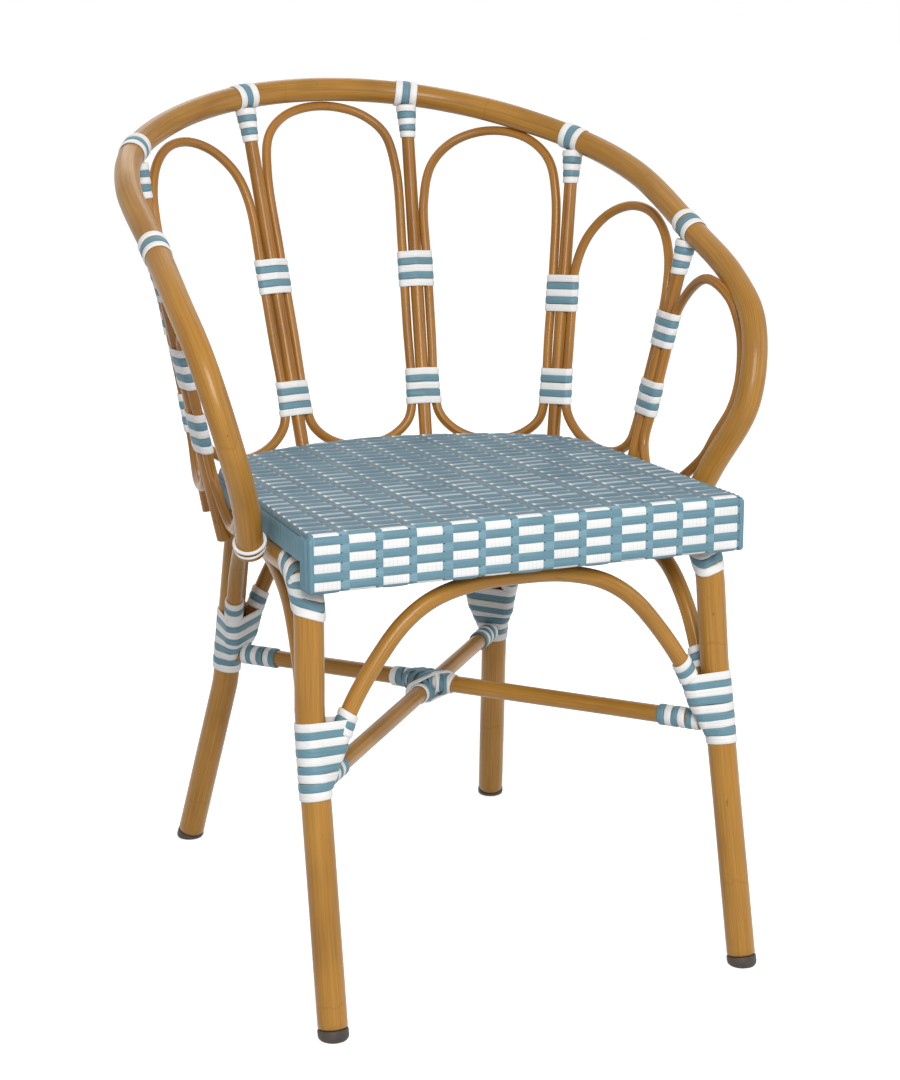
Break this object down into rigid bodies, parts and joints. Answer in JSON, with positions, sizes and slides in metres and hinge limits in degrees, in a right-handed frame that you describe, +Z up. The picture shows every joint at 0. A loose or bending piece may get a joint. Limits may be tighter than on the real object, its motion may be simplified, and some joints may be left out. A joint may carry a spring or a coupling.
{
  "type": "rattan bistro armchair",
  "caption": "Round-backed bistro armchair of bent poles with looped back rods, a check-woven seat and strip-bound joints.",
  "frame": {"origin": "middle of the chair's bounding box, on the floor", "axes": "+Z up, the sitter faces -Y, +X to the left hand side of a person looking at the chair's back"},
  "size_m": [0.589, 0.613, 0.8225],
  "materials": {
    "rattan": "satin varnish",
    "rattan_dark": "satin varnish",
    "seat_weave": "flat woven strip, slight sheen",
    "blue_strip": "flat strip, slight sheen",
    "white_strip": "flat strip, slight sheen",
    "foot_cap": "moulded, matt",
    "frame_wood": "bare, hidden"
  },
  "bodies": {
    "root": {"back_hoop": "rattan", "corner_binding_left": "blue_strip", "corner_binding_right": "blue_strip", "cross_bar_1": "frame_wood", "cross_bar_2": "frame_wood", "crossing_binding": "white_strip", "foot_cap_front_left": "foot_cap", "foot_cap_front_right": "foot_cap", "foot_cap_rear_left": "foot_cap", "foot_cap_rear_right": "foot_cap", "front_arch": "rattan", "front_leg_binding_left": "blue_strip", "front_leg_binding_right": "blue_strip", "front_leg_left": "rattan", "front_leg_right": "rattan", "hoop_binding_1": "blue_strip", "hoop_binding_2": "blue_strip", "hoop_binding_3": "blue_strip", "hoop_binding_4": "blue_strip", "hoop_binding_5": "blue_strip", "hoop_binding_6": "blue_strip", "lower_binding_1": "blue_strip", "lower_binding_2": "blue_strip", "lower_binding_3": "blue_strip", "lower_binding_4": "blue_strip", "lower_binding_5": "blue_strip", "lower_binding_6": "blue_strip", "petal_1": "rattan_dark", "petal_2": "rattan_dark", "petal_3": "rattan_dark", "petal_4": "rattan_dark", "petal_5": "rattan_dark", "petal_6": "rattan_dark", "petal_7": "rattan_dark", "rear_arch": "rattan", "rear_leg_binding_left": "blue_strip", "rear_leg_binding_right": "blue_strip", "rear_leg_left": "rattan", "rear_leg_right": "rattan", "rear_rail": "rattan", "seat_frame": "frame_wood", "seat_weave": "seat_weave", "side_arch_left": "rattan", "side_arch_right": "rattan", "spindle_1": "rattan", "spindle_2": "rattan", "spindle_3": "rattan", "spindle_4": "rattan", "spindle_5": "rattan", "spindle_6": "rattan", "stretcher_lower": "rattan", "stretcher_upper": "rattan", "tip_lashing_left": "white_strip", "tip_lashing_right": "white_strip", "upper_binding_1": "blue_strip", "upper_binding_2": "blue_strip", "upper_binding_3": "blue_strip", "upper_binding_4": "blue_strip", "upper_binding_5": "blue_strip", "upper_binding_6": "blue_strip"}
  },
  "joints": []
}
